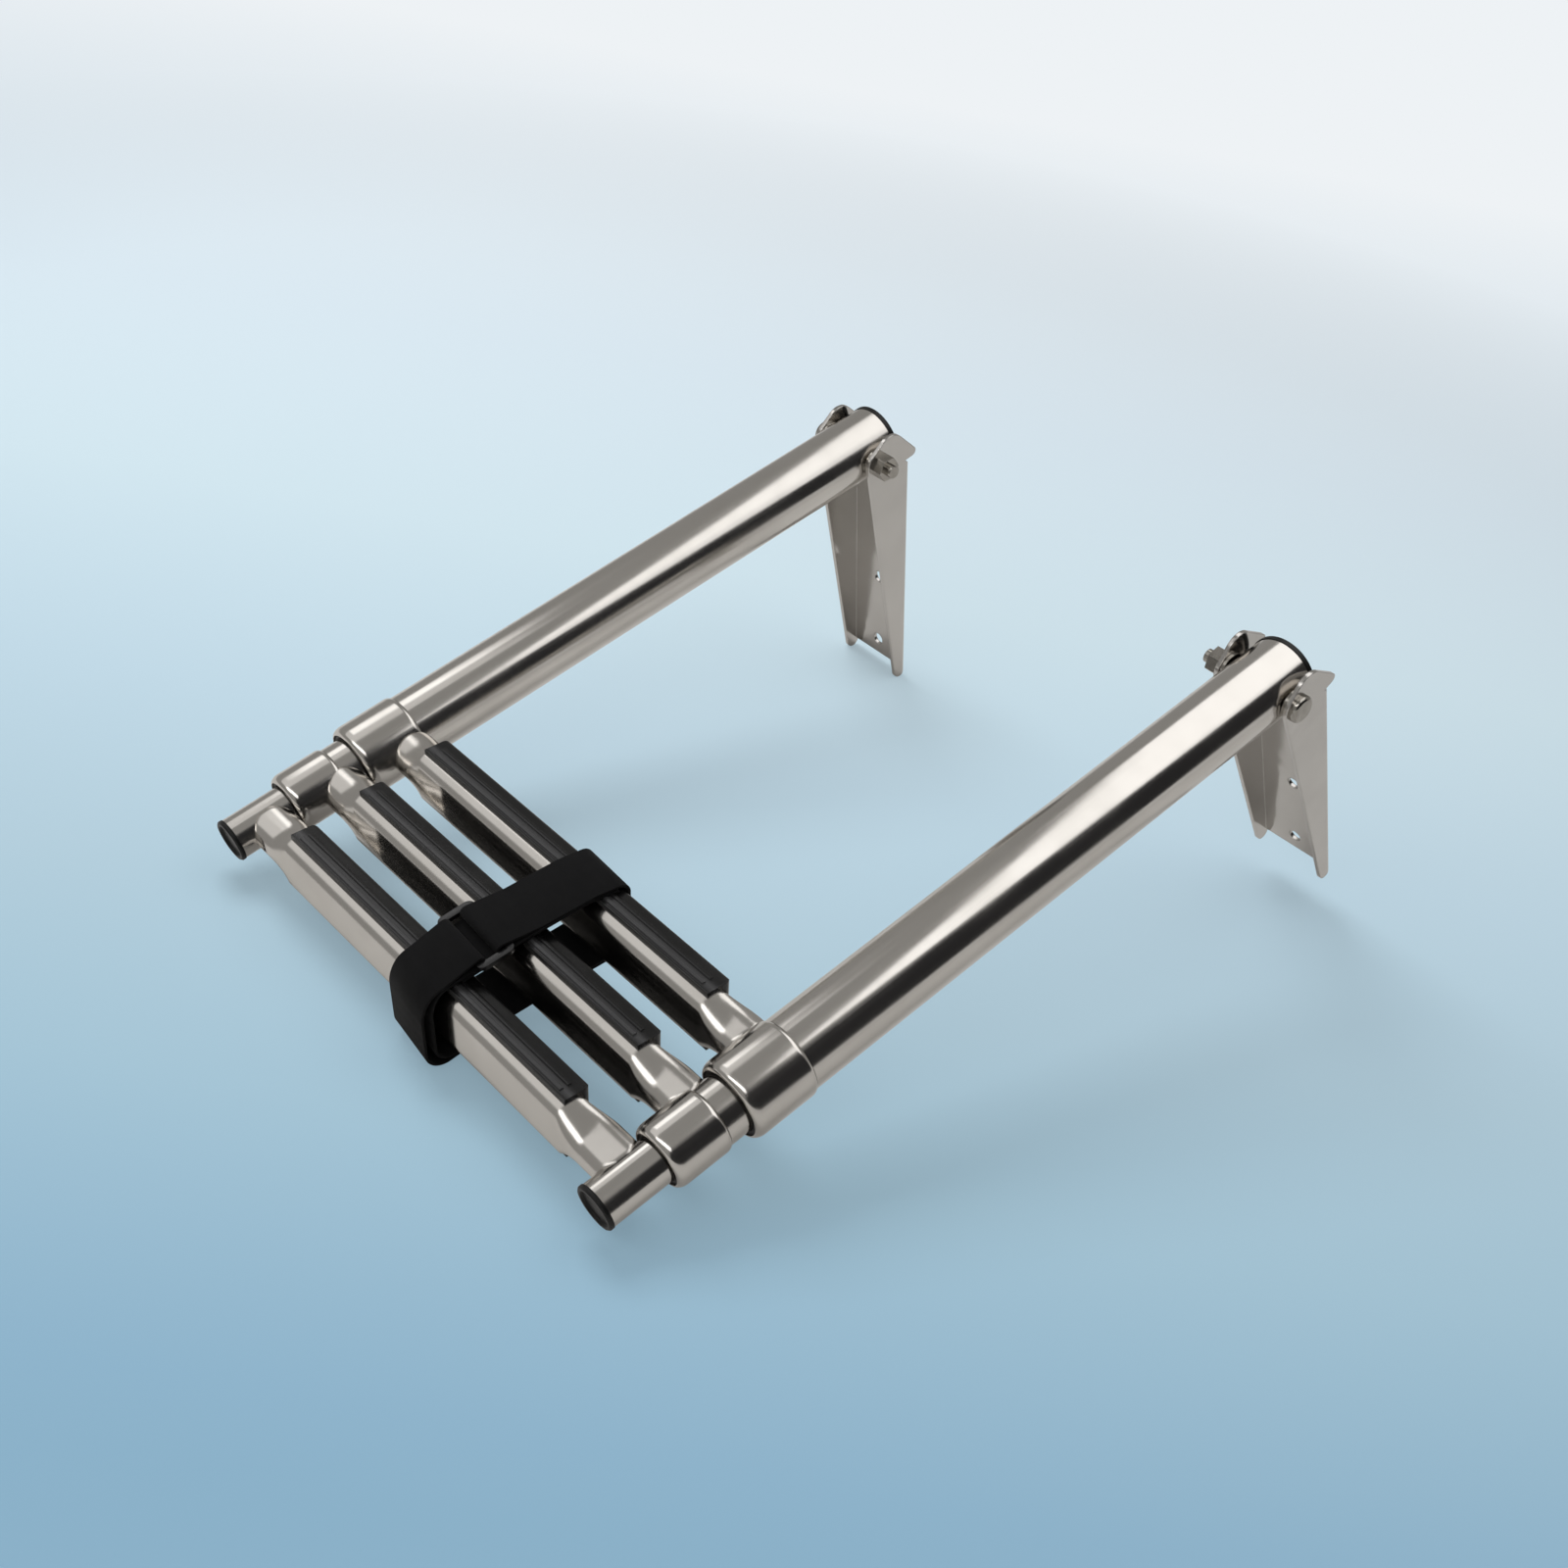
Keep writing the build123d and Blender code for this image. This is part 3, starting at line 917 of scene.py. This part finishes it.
@dataclass
class Strap:
    """Doubled loop-tape strap round the folded steps, turned back through its ring."""

    width: float = 27.5
    layer: float = 1.3
    snug: float = 0.97          # share of a layer that is drawn, so that no two layers touch
    middle_x: float = 139.8
    ring_down: float = 329.5
    ring_height: float = 20.34
    skew: float = 3.0
    drift: float = 3.0          # the back lies this far aside
    drift_from: float = 8.0     # it starts this far behind the ring's middle
    drift_over: float = 52.0    # and takes this long
    twist: float = 1.6          # the front's one edge runs this far ahead of the other
    twist_from: float = 14.0    # it starts this far before the ring's middle
    twist_over: float = 14.0    # and takes this long
    top: float = 18.94
    fold_radius: float = 2.05
    back_fold: float = 323.0
    front_fold: float = 333.2
    patch: tuple[float, float] = (322.5, 345.0)
    patch_thick: float = 0.65
    taper: float = 15.5
    bend: float = 8.0           # radius at both ends of a taper
    turn_step: float = 6.0      # degrees a facet of a turn takes
    edge_round: float = 0.35
    edge_steps: int = 2
    sharp: float = 35.0
    tail_start: float = 314.0   # the sewn end, under the steps
    tail_end: float = 324.0     # the free end
    under: float = -17.5
    keep: float = 0.3           # share of its length that the strap keeps when squashed
    held_past: float = 6.0      # the place that stays put lies this far past the first corner
    back: tuple[Corner, ...] = (
        Corner(274.9, -17.5, 4.2), Corner(268.3, 16.1, 4.4), Corner(282.7, 18.94, 24.0),
    )
    front: tuple[Corner, ...] = (
        Corner(352.4, 18.94, 9.0), Corner(358.4, 12.5, 15.0), Corner(363.6, -19.0, 7.5),
        Corner(340.0, -17.5, 45.0),
    )

    def place(self) -> Matrix:
        """Placement of the strap's own axes: their origin under the ring, Y along the strap."""
        ring = Matrix.Translation(Vector((self.middle_x, -self.ring_down, 0)) * MM)
        return LAY.matrix() @ ring @ Matrix.Rotation(math.radians(-self.skew), 4, "Z")

    def anchor(self) -> Vector:
        """Place that stays put while the strap is squashed."""
        return LAY.point(self.middle_x, self.back[0].down + self.held_past, 0)

    def spot(self, down: float, height: float) -> Vector:
        """Point on the strap's own axes, in millimetres."""
        return Vector((0.0, self.ring_down - down, height))

    def walk(self, line: list[Corner]) -> list[Run]:
        """Turn a line of corners into straight runs and the turns after them.

        The tape's middle runs half a layer outside the turns of positive angle, and half a layer
        inside the others.

        Args:
            line: start, corners and end.

        Returns:
            The runs.
        """
        spots = [self.spot(corner.down, corner.height) for corner in line]
        steps, used = [], 0.0
        for number in range(1, len(spots)):
            run = spots[number] - spots[number - 1]
            if number == len(spots) - 1:
                steps.append((run.length - used, 0.0, 0.0))
                break
            onward = spots[number + 1] - spots[number]
            turn = math.atan2(run.y * onward.z - run.z * onward.y, run.dot(onward))
            middle = line[number].radius
            cut = middle * math.tan(abs(turn) / 2)
            radius = middle + math.copysign(self.layer / 2, turn)
            steps.append((run.length - used - cut, math.degrees(turn), radius))
            used = cut
        return steps

    def tape(self) -> Object:
        """Lay the tape in one length, from its sewn end round the steps twice to its free end.

        Returns:
            The tape's middle surface, on the strap's own axes.
        """
        first = Corner(self.tail_start, self.under)
        last = Corner(self.tail_end, self.under)
        back_bar = Corner(self.back_fold, self.top)
        front_bar = Corner(self.front_fold, self.top)
        back_taper = Corner(self.back_fold - self.taper, self.top)
        front_taper = Corner(self.front_fold + self.taper, self.top)
        rise = 2 * self.fold_radius - self.layer
        slant = math.degrees(math.atan2(rise, self.taper))
        slope = math.hypot(rise, self.taper)
        fold = (0.0, 180.0, self.fold_radius)
        walk = [
            *self.walk([first, *self.back, back_taper]),
            (0.0, -slant, self.bend), (slope, slant, self.bend), fold,
            *self.walk([back_bar, *reversed(self.back), *reversed(self.front), front_bar]),
            fold, (0.0, slant, self.bend), (slope, -slant, self.bend),
            *self.walk([front_taper, *self.front, last]),
        ]
        start = self.spot(self.tail_start, self.under - self.layer / 2) * MM
        return self.extrude(start, walk)

    def extrude(self, spot: Vector, walk: list[Run]) -> Object:
        """Draw the tape out run by run and spin it round its turns.

        Args:
            spot: where the tape's middle starts.
            walk: its runs.

        Returns:
            The tape's middle surface.
        """
        ahead = Vector((0, 1, 0))
        first = walk[0][0] * MM
        bpy.ops.object.select_all(action="DESELECT")
        bpy.ops.mesh.primitive_plane_add(size=1, location=spot + ahead * first / 2)
        tape = bpy.context.active_object
        tape.name = "loop_strap"
        tape.scale = (self.width * MM, first, 1)
        bpy.ops.object.transform_apply(location=True, rotation=True, scale=True)
        pick_faces(tape, lambda face: False)
        spot = spot + ahead * first
        for edge in tape.data.edges:
            ends = (tape.data.vertices[v].co for v in edge.vertices)
            edge.select = all((end - spot).y > -first / 2 for end in ends)
        start_edit(tape, "EDGE")
        for number, (length, angle, radius) in enumerate(walk):
            if number and length > SHORTEST:
                run = ahead * length * MM
                bpy.ops.mesh.extrude_region_move(TRANSFORM_OT_translate={"value": run})
                spot = spot + run
            if angle:
                side = Vector((0, -ahead.z, ahead.y)) * math.copysign(1, angle)
                centre = spot + side * radius * MM
                bpy.ops.mesh.spin(
                    steps=max(2, round(abs(angle) / self.turn_step)), angle=-math.radians(angle),
                    center=centre, axis=(1, 0, 0),
                )
                turned = Matrix.Rotation(math.radians(angle), 3, "X")
                spot, ahead = centre + turned @ (spot - centre), turned @ ahead
        end_edit()
        log.info("tape ends %.2f down, %.2f high", self.ring_down - spot.y / MM, spot.z / MM)
        return tape

    def backing(self) -> Object:
        """Lay the backing tape that keeps the ring off the steps.

        Returns:
            The backing's middle surface.
        """
        start = self.spot(self.patch[1], self.top - self.layer - self.patch_thick) * MM
        return self.extrude(start, [(self.patch[1] - self.patch[0], 0.0, 0.0)])

    def lay_cloth_map(self, tape: Object) -> None:
        """Map the weave: across the tape in U and along it in V, both in metres.

        Args:
            tape: the tape's middle surface.
        """
        mesh = tape.data
        edge_run = {}
        for edge in mesh.edges:
            a, b = edge.vertices
            if mesh.vertices[a].co.x < 0 and mesh.vertices[b].co.x < 0:
                edge_run.setdefault(a, []).append(b)
                edge_run.setdefault(b, []).append(a)
        here = next(v for v, near in edge_run.items() if len(near) == 1)
        along, before, length = {here: 0.0}, None, 0.0
        while True:
            ahead = [v for v in edge_run[here] if v != before]
            if not ahead:
                break
            length += (mesh.vertices[ahead[0]].co - mesh.vertices[here].co).length
            before, here = here, ahead[0]
            along[here] = length
        partner = {}
        for edge in mesh.edges:
            a, b = edge.vertices
            if a in along and b not in along:
                partner[b] = a
            if b in along and a not in along:
                partner[a] = b
        cloth = mesh.uv_layers.new(name=CLOTH_MAP)
        for loop in mesh.loops:
            vertex = loop.vertex_index
            run = along[partner.get(vertex, vertex)]
            cloth.data[loop.index].uv = (mesh.vertices[vertex].co.x, run)

    def build(self) -> Object:
        """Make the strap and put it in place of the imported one.

        Returns:
            The finished strap.
        """
        tape = self.tape()
        self.lay_cloth_map(tape)
        patch = self.backing()
        self.lay_cloth_map(patch)
        pick(tape, patch)
        bpy.ops.object.join()
        for vertex in tape.data.vertices:
            share = ease(vertex.co.y / MM, self.drift_from, self.drift_over)
            vertex.co.x += self.drift * MM * share * share * (3 - 2 * share)
            ahead = ease(-vertex.co.y / MM, self.twist_from, self.twist_over)
            far = (self.width / 2 - vertex.co.x / MM) / self.width
            vertex.co.y += self.twist * MM * ahead * far
        thickness = self.layer * MM * self.snug
        modify(tape, "SOLIDIFY", thickness=thickness, offset=0.0, use_even_offset=True)
        round_edges(tape, self.edge_round, self.edge_steps)
        coat(tape, STRAP_CLOTH, self.sharp)
        settle(tape, self.place())
        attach(tape, "upper_section")
        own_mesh(tape)
        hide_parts("strap")
        return tape


@dataclass
class StrapRing:
    """Moulded rectangular ring that the strap turns back through."""

    strap: Strap
    long: float = 34.3
    deep: float = 17.0
    thick: float = 2.0
    bar: float = 3.2
    corner: float = 3.2
    corner_steps: int = 6
    bar_round: float = 0.85
    bar_steps: int = 4
    level: float = 0.9          # faces whose normal rises this much are the top and the bottom
    sharp: float = 40.0

    def build(self) -> Object:
        """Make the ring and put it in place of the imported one.

        Returns:
            The finished ring.
        """
        bpy.ops.object.select_all(action="DESELECT")
        bpy.ops.mesh.primitive_cube_add(size=1, location=(0, 0, self.strap.ring_height * MM))
        ring = bpy.context.active_object
        ring.name = "strap_loop_ring"
        ring.scale = Vector((self.long, self.deep, self.thick)) * MM
        bpy.ops.object.transform_apply(location=True, rotation=True, scale=True)
        pick_faces(ring, lambda face: False)
        for edge in ring.data.edges:
            low, high = (ring.data.vertices[v].co for v in edge.vertices)
            edge.select = abs(low.z - high.z) > self.thick * MM / 2
        start_edit(ring, "EDGE")
        bpy.ops.mesh.bevel(offset=self.corner * MM, segments=self.corner_steps, affect="EDGES")
        end_edit()
        pick_faces(ring, lambda face: abs(face.normal.z) > self.level)
        start_edit(ring, "FACE")
        bpy.ops.mesh.inset(thickness=self.bar * MM)
        bpy.ops.mesh.delete(type="FACE")
        bpy.ops.mesh.select_mode(type="EDGE")
        bpy.ops.mesh.select_non_manifold()
        bpy.ops.mesh.bridge_edge_loops()
        bpy.ops.mesh.select_all(action="SELECT")
        bpy.ops.mesh.normals_make_consistent(inside=False)
        end_edit()
        round_edges(ring, self.bar_round, self.bar_steps)
        coat(ring, RING_PLASTIC, self.sharp)
        settle(ring, self.strap.place())
        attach(ring, "upper_section")
        anchor = self.strap.anchor()
        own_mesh(ring)
        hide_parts("strap_ring")
        return ring


@dataclass
class Lamp:
    """One soft lamp, placed and sized in metres."""

    name: str
    place: tuple[float, float, float]
    aim: tuple[float, float, float]
    size: tuple[float, float]
    level: float
    turn: float = 0.0
    mirrored: bool = True       # whether the steel shows it

    def light(self) -> Object:
        """Hang the lamp.

        Returns:
            The lamp's object.
        """
        data = bpy.data.lights.new(self.name, "AREA")
        data.shape = "RECTANGLE"
        data.size, data.size_y = self.size
        data.energy = self.level * math.pi * self.size[0] * self.size[1]
        lamp = bpy.data.objects.new(self.name, data)
        lamp.visible_glossy = self.mirrored
        bpy.context.scene.collection.objects.link(lamp)
        ahead = (Vector(self.aim) - Vector(self.place)).normalized()
        aimed = ahead.to_track_quat("-Z", "Y").to_matrix().to_4x4()
        turned = Matrix.Rotation(math.radians(self.turn), 4, "Z")
        lamp.matrix_world = Matrix.Translation(self.place) @ aimed @ turned
        return lamp


@dataclass
class Studio:
    """Camera, floor and lamps."""

    eye: tuple[float, float, float] = (638.7, -611.0, 625.6)
    aim: tuple[float, float, float] = (67.16, -129.58, -39.27)
    roll: float = -1.645
    lens: float = 46.07
    sensor: float = 36.0
    nearest: float = 10.0       # nothing nearer to the camera is drawn
    floor_point: tuple[float, float, float] = (67.16, -129.58, -37.8)
    floor_normal: tuple[float, float, float] = (0.0, 0.2201, 0.9755)
    floor_away: tuple[float, float, float] = (-0.6736, 0.7174, -0.1775)
    floor_shift: float = -131.2
    floor_half: float = 4000.0
    near: float = -600.0        # the floor's tones lie between these two, away from the camera
    far: float = 1400.0
    tones: tuple[tuple[float, str], ...] = (
        (-580.0, "#8DB3CB"), (-544.0, "#90B5CD"), (-409.0, "#A4C3D4"), (-290.0, "#AFC9D7"),
        (-131.0, "#BAD1DE"), (85.0, "#C8DBE4"), (385.0, "#D1DFE8"), (1240.0, "#EEF2F5"),
    )
    paper: str = "#C6C5C3"
    glow: float = 0.5           # share of its tone that the floor gives off by itself
    glow_mirrored: float = 0.1  # the same, as the steel mirrors it
    glow_reach: tuple[float, float] = (260.0, 1100.0)   # over this the share grows to all of it
    lamps: tuple[Lamp, ...] = (
        Lamp("softbox_over", (0.30, 0.46, 0.72), (0.30, 0.46, 0.0), (1.12, 0.8), 1.15, turn=-26.0),
        Lamp("strip_left", (-0.62, -0.11, 0.72), (-0.62, -0.11, 0.0), (0.5, 0.24), 0.9, turn=-8.0),
        Lamp("wide_left", (-0.52, -0.44, 0.76), (-0.52, -0.44, 0.0), (0.9, 0.8), 0.45),
        Lamp("fill_left", (-0.75, 0.1, 1.3), (-0.1, -0.1, 0.0), (0.8, 0.8), 7.4, mirrored=False),
        Lamp("top_front", (0.35, -0.95, 1.25), (0.12, -0.25, 0.0), (1.6, 0.4), 2.2),
    )
    backdrop: str = "#EEF2F5"
    sky: str = "#979694"
    dark_side: str = "#2B2B2C"
    dark_from: tuple[float, float] = (0.50, 0.66)   # how far to the right the sky darkens

    def camera(self) -> None:
        """Set up the camera where the photograph was taken from."""
        data = bpy.data.cameras.new("camera")
        data.lens = self.lens
        data.sensor_width = self.sensor
        data.clip_start = self.nearest * MM
        camera = bpy.data.objects.new("camera", data)
        bpy.context.scene.collection.objects.link(camera)
        ahead = (Vector(self.aim) - Vector(self.eye)).normalized()
        right = ahead.cross(Vector((0, 0, 1))).normalized()
        up = right.cross(ahead)
        view = Matrix((right, up, -ahead)).transposed().to_4x4()
        camera.matrix_world = (
            Matrix.Translation(Vector(self.eye) * MM) @ view
            @ Matrix.Rotation(math.radians(self.roll), 4, "Z")
        )
        bpy.context.scene.camera = camera

    def floor_material(self) -> bpy.types.Material:
        """Matt paper that pales with distance and keeps the object's shadow.

        Returns:
            The material.
        """
        made = bpy.data.materials.new("studio_paper")
        tree = empty_tree(made)
        place = add_node(tree, "ShaderNodeTexCoord").outputs["Object"]
        axes = add_node(tree, "ShaderNodeSeparateXYZ", {0: place})
        span = (self.near * MM, self.far * MM)
        tone = add_node(
            tree, "ShaderNodeValToRGB", {"Fac": spread(tree, axes.outputs["Y"], span)},
            stops=tuple(
                ((at - self.near) / (self.far - self.near), linear(colour))
                for at, colour in self.tones
            ),
        )
        path = add_node(tree, "ShaderNodeLightPath").outputs
        bounced = maths(tree, "ADD", path["Is Glossy Ray"], path["Is Transmission Ray"])
        mirrored = maths(tree, "MULTIPLY", bounced, self.glow_mirrored)
        seen = maths(
            tree, "MULTIPLY_ADD", path["Is Camera Ray"], self.glow, mirrored, use_clamp=True,
        )
        apart = add_node(tree, "ShaderNodeVectorMath", {0: place}, operation="LENGTH")
        reach = (self.glow_reach[0] * MM, self.glow_reach[1] * MM)
        beyond = spread(tree, apart.outputs["Value"], reach)
        far = maths(tree, "MULTIPLY", maths(tree, "GREATER_THAN", seen, 0.0), beyond)
        colour = blend(tree, path["Is Camera Ray"], linear(self.paper), tone.outputs["Color"])
        paper = add_node(tree, "ShaderNodeBsdfDiffuse", {"Color": colour})
        glow = add_node(tree, "ShaderNodeEmission", {"Color": colour, "Strength": 1.0})
        both = add_node(
            tree, "ShaderNodeMixShader",
            {0: maths(tree, "MAXIMUM", seen, far), 1: paper.outputs["BSDF"],
             2: glow.outputs["Emission"]},
        )
        add_node(tree, "ShaderNodeOutputMaterial", {"Surface": both.outputs["Shader"]})
        return made

    def floor(self) -> Object:
        """Lay the floor under the ladder, sloping as the ladder lies on it.

        Returns:
            The floor.
        """
        bpy.ops.object.select_all(action="DESELECT")
        bpy.ops.mesh.primitive_plane_add(size=2 * self.floor_half * MM)
        floor = bpy.context.active_object
        floor.name = "studio_floor"
        normal = Vector(self.floor_normal).normalized()
        away = Vector(self.floor_away)
        away = (away - normal * away.dot(normal)).normalized()
        axes = Matrix((away.cross(normal), away, normal)).transposed().to_4x4()
        origin = Vector(self.floor_point) * MM - away * self.floor_shift * MM
        floor.matrix_world = Matrix.Translation(origin) @ axes
        floor.data.materials.append(self.floor_material())
        return floor

    def light(self) -> None:
        """Hang the lamps and set the sky and the view."""
        for lamp in self.lamps:
            lamp.light()
        world = bpy.data.worlds.new("studio_sky")
        bpy.context.scene.world = world
        tree = empty_tree(world)
        ahead = add_node(tree, "ShaderNodeTexCoord").outputs["Generated"]
        across = add_node(tree, "ShaderNodeSeparateXYZ", {0: ahead})
        side = spread(tree, across.outputs["X"], self.dark_from)
        tone = blend(tree, side, linear(self.sky), linear(self.dark_side))
        seen = add_node(tree, "ShaderNodeLightPath").outputs["Is Camera Ray"]
        colour = blend(tree, seen, tone, linear(self.backdrop))
        sky = add_node(tree, "ShaderNodeBackground", {"Color": colour, "Strength": 1.0})
        add_node(tree, "ShaderNodeOutputWorld", {"Surface": sky.outputs["Background"]})
        bpy.context.scene.view_settings.view_transform = "Standard"


def main() -> None:
    """Build the studio, dress the ladder and report each piece."""
    logging.basicConfig(level=logging.INFO, format="%(name)s: %(message)s")
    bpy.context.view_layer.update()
    studio = Studio()
    studio.camera()
    studio.floor()
    studio.light()
    log.info("studio ready")
    done = TubeFrame().dress()
    log.info("%d nodes dressed", done)
    strap = Strap()
    turned = (
        Ferrule("upper_ferrule", "upper_section", Slot.TUBE, TUBE_STEEL),
        Ferrule(
            "middle_ferrule", "middle_section", Slot.TUBE, TUBE_STEEL,
            tube_radius=12.7, crease=312.9, mouth=338.1,
        ),
        TopCap("top_cap", "upper_section", Slot.CAP, CAP_PLASTIC),
    )
    pieces = [piece for kind in turned for piece in kind.build()]
    for piece in (*pieces, strap.build(), StrapRing(strap).build()):
        log.info("%s: %d faces", piece.name, len(piece.data.polygons))


if __name__ == "__main__":
    main()
